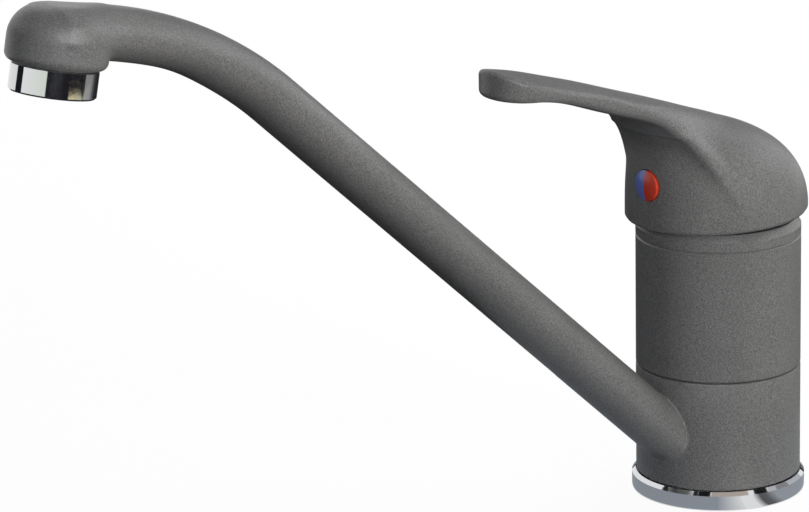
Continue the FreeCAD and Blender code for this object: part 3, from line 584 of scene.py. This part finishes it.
def headField(p):
    # distance to a round head: upright sides, a generously rounded top and a flat foot with a small round
    # edge; each round edge is the distance from its centre line less its radius
    local = p - headPoint
    radial = np.hypot(local[..., 0], local @ headAhead)
    z = local @ headUp
    c = spout
    top = np.hypot(np.maximum(radial - c["headRadiusMm"] + c["headTopRoundMm"], 0),
                   np.maximum(z - c["headAboveMm"] + c["headTopRoundMm"], 0)) - c["headTopRoundMm"]
    flatTop = z - c["headAboveMm"]
    side = radial - c["headRadiusMm"] + c["headEdgeMm"]
    foot = -c["headBelowMm"] + c["headEdgeMm"] - z
    low = (np.hypot(np.maximum(side, 0), np.maximum(foot, 0)) + np.minimum(np.maximum(side, foot), 0)
           - c["headEdgeMm"])
    return np.maximum(np.maximum(top, flatTop), low)


def spoutField(p, s):
    # tube and head joined softly; s is the length along the middle line of the section that p lies in. The
    # tube is an oval: q, the root of (x / half width) squared plus (up / half height) squared, is 1 on it.
    c = spout
    point, ahead, normal = spoutLine(s)
    local = p - point
    x = local[..., 0]
    width, height = tubeHalves(s)
    slim = c["slimMm"] * np.exp(-((-point[..., 1] - c["slimReachMm"]) / c["slimRunMm"]) ** 2)
    up = np.sum(local * normal, axis=-1) - c["raiseMm"] - slim
    height = height - slim
    q = np.hypot(x / width, up / height)
    slope = np.hypot(x / width ** 2, up / height ** 2) + 1e-6
    tube = np.maximum(q * (q - 1) / slope, (p - headPoint) @ headAhead - 1)
    headZ = (p - headPoint) @ headUp
    soft = c["headBlendMm"] + c["headBlendExtraMm"] * ramp(headZ, *c["headBlendHeightMm"])
    head = headField(p)
    farOff = head > 20  # the head has no part in the blend there
    whole = np.where(farOff, tube, smoothMin(tube, head, soft))
    return smoothMax(whole, p[..., 2] - c["topMm"], c["topRoundMm"])


def buildTube():
    # rings of points from inside the collar to the head's tip: lines of the plain oval until every line has
    # left the collar, then points on the skin of tube and head, found along rays from the middle line
    c = spout
    angles = np.linspace(0, 2 * np.pi, c["columns"], endpoint=False)
    sine, cosine = np.sin(angles), np.cos(angles)

    def skin(s):
        # plain oval tube at length s (array over columns)
        point, ahead, normal = spoutLine(s)
        width, height = tubeHalves(s)
        return point + normal * (height * cosine)[:, None] + across * (width * sine)[:, None]

    # where each long line of the tube enters the collar
    low, high = (np.full(c["columns"], end) for end in c["entryMm"])
    for _ in range(40):
        middle = (low + high) / 2
        outside = np.hypot(*skin(middle)[:, :2].T) > c["bodyRadiusMm"]
        high = np.where(outside, middle, high)
        low = np.where(outside, low, middle)
    entry = (low + high) / 2
    corner = skin(entry)
    above = skin(entry + c["filletMm"])
    point, ahead, normal = spoutLine(entry)
    width, height = tubeHalves(entry)
    away = across * (sine / width)[:, None] + normal * (cosine / height)[:, None]
    radial = corner * np.array([1, 1, 0]) / c["bodyRadiusMm"]
    away = away - radial * np.sum(away * radial, axis=-1)[:, None]
    away /= np.linalg.norm(away, axis=-1)[:, None]
    beside = corner + away * c["filletMm"]
    beside[:, :2] *= (c["bodyRadiusMm"] / np.hypot(beside[:, 0], beside[:, 1]))[:, None]
    # two rows inside the collar, the outer one half a millimetre deep, then a fillet:
    # beside (1 - t) squared + corner 2 t (1 - t) + above t squared
    heart = np.array(c["heartMm"])
    inner = beside - radial * 0.5 + away * 0.25
    rows = [heart + (inner - heart) * 0.45, inner]
    for t in np.linspace(0, 1, 9):
        rows.append(beside * (1 - t) ** 2 + corner * 2 * t * (1 - t) + above * t * t)
    common = c["commonMm"]
    for t in np.linspace(0, 1, 40)[1:]:
        rows.append(skin((entry + c["filletMm"]) * (1 - t) + common * t))
    rows = np.array(rows)
    # the rest of the tube, up to the middle of the head
    plain = np.linspace(common, wholeLength - c["closeMm"], 150)[1:]
    close = np.linspace(wholeLength - c["closeMm"], wholeLength, 96)[1:]
    lengths = np.concatenate([plain, close])[:, None] * np.ones(c["columns"])
    point, ahead, normal = spoutLine(lengths)
    direction = across * sine[None, :, None] + normal * cosine[None, :, None]
    farthest = 24.0
    sections = pushOut(lambda p: spoutField(p, lengths), point, direction, farthest, steps=48)
    turn = np.radians(np.linspace(90, 0, 72)[1:-1])[:, None, None]
    endDirection = (np.sin(turn) * (across * sine[None, :, None] + headUp * cosine[None, :, None])
                    + np.cos(turn) * headAhead)
    atHead = np.full(endDirection.shape[:2], wholeLength)
    endRows = pushOut(lambda p: spoutField(p, atHead), np.broadcast_to(headPoint, endDirection.shape).copy(),
                      endDirection, farthest, steps=48)
    tip = headPoint + headAhead * c["headRadiusMm"]
    grid = np.concatenate([rows, sections, endRows])
    return closedGrid("spoutTube", grid[:, ::-1], heart[None, :], tip[None, :], sharpAngle=60)


def turnedGrid(name, profile, columns, sharpAngle=35):
    # closed ring turned about Z from radius and height pairs
    angles = np.linspace(0, 2 * np.pi, columns, endpoint=False)
    profile = np.array(profile, float)
    grid = np.stack([profile[:, :1] * np.cos(angles), profile[:, :1] * np.sin(angles),
                     np.repeat(profile[:, 1:], columns, axis=1)], axis=-1)
    rows = len(profile)
    points = grid.reshape(-1, 3)
    faces = gridFaces(rows + 1, columns) % len(points)
    return makeMesh(name, points, faces, np.zeros((0, 3), int), sharpAngle)


def roundedEdge(radius, height, size, upward):
    # three points round an outer edge, in the order that climbs the outside
    a = (radius - size, height)
    b = (radius - size * 0.3, height + size * upward * 0.3)
    c = (radius, height + size * upward)
    return [a, b, c] if upward > 0 else [c, b, a]


def buildCollar():
    # turned ring: chamfered outside, and a bore with a wider recess at each end
    c = spout
    low, high, r = c["collarLowMm"], c["collarHighMm"], c["bodyRadiusMm"]
    wide, deep = c["boreMm"] + c["recessMm"], c["recessDepthMm"]
    profile = (roundedEdge(r, low, c["chamferMm"], 1) + roundedEdge(r, high, c["chamferMm"], -1)
               + [(wide, high), (wide, high - deep), (c["boreMm"], high - deep),
                  (c["boreMm"], low + deep), (wide, low + deep), (wide, low)])
    return turnedGrid("spoutCollar", profile, c["collarColumns"])


spoutTube = buildTube()
spoutCollar = buildCollar()
dress(spoutTube, "graphite_paint", "spout", "spout_casting")
dress(spoutCollar, "graphite_paint", "spout", "spout_casting")
print("stage: spout made,", len(spoutTube.data.polygons), "faces")


# Stage: floor, light and camera

# the floor's tint for the light that it sends back, its glow for the camera, and the light of the world
stage = {"floorHalfSize": 6.0, "floorBounce": "#525252", "floorGlow": 0.93, "world": 0.13}


def backgroundSeen(tree):
    # 1 for rays that show the background: straight from the camera, off metal and gloss, and through glass
    path = addNode(tree, "ShaderNodeLightPath")
    direct = addNode(tree, "ShaderNodeMath", {"operation": "MAXIMUM"}, i0=path.outputs["Is Camera Ray"],
                     i1=path.outputs["Is Glossy Ray"])
    return addNode(tree, "ShaderNodeMath", {"operation": "MAXIMUM"}, i0=direct.outputs[0],
                   i1=path.outputs["Is Transmission Ray"])


def buildStage():
    # pale paper that glows where the camera sees it, and an even white world
    half = stage["floorHalfSize"]
    corners = [(-half, -half, 0), (half, -half, 0), (half, half, 0), (-half, half, 0)]
    mesh = bpy.data.meshes.new("paleFloor")
    mesh.from_pydata(corners, [], [(0, 1, 2, 3)])
    floor = bpy.data.objects.new("paleFloor", mesh)
    bpy.context.scene.collection.objects.link(floor)
    material, tree = newMaterial("paleBackgroundPaper")
    seen = backgroundSeen(tree)
    paper = addNode(tree, "ShaderNodeBsdfDiffuse", Color=linear(stage["floorBounce"]))
    glow = addNode(tree, "ShaderNodeEmission", Color=(1, 1, 1, 1), Strength=stage["floorGlow"])
    add = addNode(tree, "ShaderNodeAddShader", i0=paper.outputs[0], i1=glow.outputs[0])
    mix = addNode(tree, "ShaderNodeMixShader", i0=seen.outputs[0], i1=paper.outputs[0], i2=add.outputs[0])
    finishMaterial(tree, mix)
    mesh.materials.append(material)

    world = bpy.data.worlds.new("studio")
    world.use_nodes = True
    bpy.context.scene.world = world
    tree = world.node_tree
    tree.nodes.clear()
    seen = backgroundSeen(tree)
    strength = addNode(tree, "ShaderNodeMapRange", Value=seen.outputs[0],
                       From_Min=0.0, From_Max=1.0, To_Min=stage["world"], To_Max=1.0)
    background = addNode(tree, "ShaderNodeBackground", Color=(1, 1, 1, 1), Strength=strength.outputs[0])
    output = tree.nodes.new("ShaderNodeOutputWorld")
    tree.links.new(background.outputs[0], output.inputs[0])


def addSoftLamp(name, place, target, settings):
    # a square lamp that faces the target
    data = bpy.data.lights.new(name, "AREA")
    data.size = settings["size"]
    data.energy = settings["watts"]
    data.color = linear(settings["tint"])[:3]
    lamp = bpy.data.objects.new(name, data)
    lamp.visible_glossy = settings["gloss"]
    lamp.location = place
    lamp.rotation_mode = "QUATERNION"
    lamp.rotation_quaternion = (Vector(target) - Vector(place)).to_track_quat("-Z", "Y")
    bpy.context.scene.collection.objects.link(lamp)


# Lamps: place in metres to the camera's right, up and towards it, from the middle of the tap; size in metres;
# gloss says whether a lamp shows as a highlight.
lamps = {
    "keyLamp": {"place": (0.69, -0.04, 0.6), "size": 0.2, "watts": 3.9, "tint": "#fffdf8", "gloss": False},
    "frontLamp": {"place": (0.15, -0.1, 1.4), "size": 0.7, "watts": 4.7, "tint": "#f4f6ff", "gloss": True},
    "edgeLamp": {"place": (0.93, 0.57, -0.13), "size": 0.25, "watts": 2.1, "tint": "#ffffff", "gloss": True},
    "topLamp": {"place": (0.38, 0.36, -0.38), "size": 0.25, "watts": 1.4, "tint": "#ffffff", "gloss": False},
    "backLamp": {"place": (0.0, 1.0, -1.0), "size": 0.9, "watts": 6.6, "tint": "#ffffff", "gloss": False},
    "sideLamp": {"place": (-1.0, 0.9, -0.9), "size": 0.9, "watts": 4.6, "tint": "#f4f6ff", "gloss": False},
}
camera = {
    "lensMm": 205.31, "sensorMm": 36, "place": (1.0014, -0.8968, 0.4584),
    "turnDeg": 52.2, "pitchDeg": 15.987, "rollDeg": -1.0557,
}


def buildCamera():
    # the photo's camera: turned about Z, pitched down, then rolled about its own line of sight
    data = bpy.data.cameras.new("photoCamera")
    data.lens = camera["lensMm"]
    data.sensor_width = camera["sensorMm"]
    data.clip_start, data.clip_end = 0.05, 50
    eye = bpy.data.objects.new("photoCamera", data)
    turn, pitch, roll = (math.radians(camera[k]) for k in ("turnDeg", "pitchDeg", "rollDeg"))
    ahead = Vector((-math.cos(pitch) * math.sin(turn), math.cos(pitch) * math.cos(turn), -math.sin(pitch)))
    right = Vector((math.cos(turn), math.sin(turn), 0))
    up = right.cross(ahead)
    rolledRight = right * math.cos(roll) + up * math.sin(roll)
    rolledUp = up * math.cos(roll) - right * math.sin(roll)
    turned = Matrix((rolledRight, rolledUp, -ahead)).transposed().to_4x4()
    eye.matrix_world = Matrix.Translation(camera["place"]) @ turned
    bpy.context.scene.collection.objects.link(eye)
    bpy.context.scene.camera = eye
    return rolledRight, rolledUp, ahead


# Cards that only the gloss sees, as a photographer sets round bright metal.
# about says what a card stands round, and far is its distance from that in metres. Turns are in degrees from
# the camera's side of the tap, positive to its right; rises are in degrees above level: the bottom edge, then
# the top edge at each end. A card has a tint at each end, and glows at 1 where it names no glow.
cards = {
    "outletWhiteLeft": {"about": "outlet", "far": 0.22, "turns": (-180, -102), "rises": (-24, 6, 6),
                        "tints": ("#ffffff", "#f6f6f2")},
    "outletBlackLeft": {"about": "outlet", "far": 0.22, "turns": (-102, -80), "rises": (-24, 12, 12),
                        "tints": ("#1d1d22", "#1d1d24")},
    "outletWhiteFront": {"about": "outlet", "far": 0.22, "turns": (-80, -15), "rises": (-20, 12, 12),
                         "tints": ("#ffffff", "#eef2e8")},
    "outletBlackFront": {"about": "outlet", "far": 0.32, "turns": (-15, 81), "rises": (-30, 12, 12),
                         "tints": ("#26262a", "#1f1f26")},
    "outletGreyRight": {"about": "outlet", "far": 0.4, "turns": (90, 121), "rises": (-24, 0, 0),
                        "tints": ("#969692", "#8e8e90")},
    "outletCream": {"about": "outlet", "far": 0.2, "turns": (41, 82), "rises": (-50, -9.1, -16.5),
                    "tints": ("#f0e2b4", "#cfcaae")},
    "outletGreyLow": {"about": "outlet", "far": 0.3, "turns": (82, 112), "rises": (-32, -16.5, -18.2),
                      "tints": ("#b4b4a4", "#a2a2a4")},
    "footBlackLeft": {"about": "foot", "far": 0.9, "turns": (-107, -97), "rises": (40, 56, 56),
                      "tints": ("#1c1c1c", "#1c1c1c")},
    "footBlackTop": {"about": "foot", "far": 0.9, "turns": (-54, -24), "rises": (61, 76, 76),
                     "tints": ("#1c1c1c", "#1c1c1c")},
    "footCream": {"about": "foot", "far": 0.9, "turns": (-22, 64), "rises": (57, 80, 80),
                  "tints": ("#bab0aa", "#c4b8aa")},
    "footBlackRight": {"about": "foot", "far": 0.9, "turns": (73, 91), "rises": (46, 63, 63),
                       "tints": ("#1a1a1a", "#1a1a1a")},
    "footGreyRight": {"about": "foot", "far": 0.9, "turns": (92, 140), "rises": (12, 54, 54),
                      "tints": ("#c8c9cc", "#c0c4cc")},
    "bodyBlackBack": {"about": "body", "far": 1.2, "turns": (150, 184), "rises": (-4, 45, 45),
                      "tints": ("#242426", "#242426")},
    "headHighlight": {"about": "head", "far": 0.25, "turns": (12, 66), "rises": (12, 40, 26),
                      "tints": ("#ffffff", "#ffffff"), "glow": 8.0},
    "bodyBlackLeft": {"about": "body", "far": 0.8, "turns": (-135, -60), "rises": (-8, 8, 22),
                      "tints": ("#1d1d20", "#1d1d20")},
}
# The same, lying on the floor: turns as above, and reach in millimetres from the body's axis.
nearFoot, fartherOut = (26.5, 95), (95, 900)
floorCards = {
    "floorGreyLeft": {"turns": (-179, -4), "reachMm": nearFoot, "tints": ("#8f949c", "#9ba1a9")},
    "floorGlow": {"turns": (-4, 16), "reachMm": nearFoot, "tints": ("#a0a6ae", "#f4f4f4")},
    "floorEdge": {"turns": (27, 33), "reachMm": nearFoot, "tints": ("#f0f0f0", "#606062")},
    "floorDark": {"turns": (33, 39), "reachMm": nearFoot, "tints": ("#606062", "#66686b")},
    "floorFade": {"turns": (39, 48), "reachMm": nearFoot, "tints": ("#66686b", "#a2a8ae")},
    "floorGreyRight": {"turns": (48, 178), "reachMm": nearFoot, "tints": ("#a2a8ae", "#959ba3")},
    "floorDarkWide": {"turns": (-180, 180), "reachMm": fartherOut, "tints": ("#2b2b2d", "#2b2b2d")},
}
cardCentres = {"outlet": (0.0, -0.2321, 0.1671), "foot": (0.0, 0.0, 0.005), "body": (0.0, 0.0, 0.1),
               "head": (0.0, -0.2321, 0.18)}
cardGrid = {"rows": 12, "columns": 24, "floorRows": 4, "floorColumns": 48}
floorCardHeight = 0.0002


def addCard(name, points, settings):
    # a thin glowing sheet from a grid of points (rows, columns, xyz) in metres; its colour goes evenly from
    # its first column's tint to its last column's
    rows, columns = points.shape[:2]
    r, c = np.meshgrid(np.arange(rows - 1), np.arange(columns - 1), indexing="ij")
    faces = np.stack([r * columns + c, r * columns + c + 1, (r + 1) * columns + c + 1, (r + 1) * columns + c],
                     axis=-1).reshape(-1, 4)
    mesh = bpy.data.meshes.new(name)
    mesh.from_pydata(points.reshape(-1, 3).tolist(), [], faces.tolist())
    share = np.linspace(0, 1, columns)[:, None]
    firstTint, lastTint = (np.array(linear(tint)) for tint in settings["tints"])
    colours = firstTint * (1 - share) + lastTint * share
    layer = mesh.color_attributes.new("tint", "FLOAT_COLOR", "POINT")
    layer.data.foreach_set("color", np.tile(colours, (rows, 1)).astype(np.float32).ravel())
    card = bpy.data.objects.new(name, mesh)
    bpy.context.scene.collection.objects.link(card)
    material, tree = newMaterial(name + "Paper")
    shade = addNode(tree, "ShaderNodeAttribute", {"attribute_name": "tint"})
    glow = addNode(tree, "ShaderNodeEmission", Color=shade.outputs["Color"],
                   Strength=settings.get("glow", 1.0))
    finishMaterial(tree, glow)
    mesh.materials.append(material)
    card.visible_camera = card.visible_diffuse = card.visible_shadow = False
    card.visible_transmission = card.visible_volume_scatter = False


def headings(turns, viewAhead, count):
    # level directions at these turns from the camera's side: near cos turn + side sin turn
    near = -np.array(viewAhead)[:2] / np.hypot(*viewAhead[:2])
    side = np.array([-near[1], near[0]])
    angle = np.radians(np.linspace(*turns, count))
    return near * np.cos(angle)[:, None] + side * np.sin(angle)[:, None]


def buildCards(viewAhead):
    # a standing card is part of a ball's skin: centre + far (heading cos rise, sin rise)
    for name, settings in cards.items():
        out = headings(settings["turns"], viewAhead, cardGrid["columns"])
        low, highStart, highEnd = settings["rises"]
        top = np.linspace(highStart, highEnd, len(out))
        rise = np.radians(low + (top - low) * np.linspace(0, 1, cardGrid["rows"])[:, None])
        place = np.concatenate([out * np.cos(rise)[..., None], np.sin(rise)[..., None]], axis=-1)
        addCard(name, np.array(cardCentres[settings["about"]]) + settings["far"] * place, settings)
    # a floor card is part of a flat ring: heading times reach
    for name, settings in floorCards.items():
        out = headings(settings["turns"], viewAhead, cardGrid["floorColumns"])
        reach = np.linspace(*settings["reachMm"], cardGrid["floorRows"])[:, None, None] / 1000
        height = np.full((len(reach), len(out), 1), floorCardHeight)
        addCard(name, np.concatenate([out * reach, height], axis=-1), settings)


buildStage()
viewRight, viewUp, viewAhead = buildCamera()
buildCards(viewAhead)
centre = Vector((0.0, -0.1, 0.08))  # middle of the tap
for name, settings in lamps.items():
    rightward, upward, nearer = settings["place"]
    place = centre + viewRight * rightward + viewUp * upward - viewAhead * nearer
    addSoftLamp(name, place, centre, settings)
bpy.context.scene.view_settings.view_transform = "Standard"
print("stage: floor, lamps and camera set")
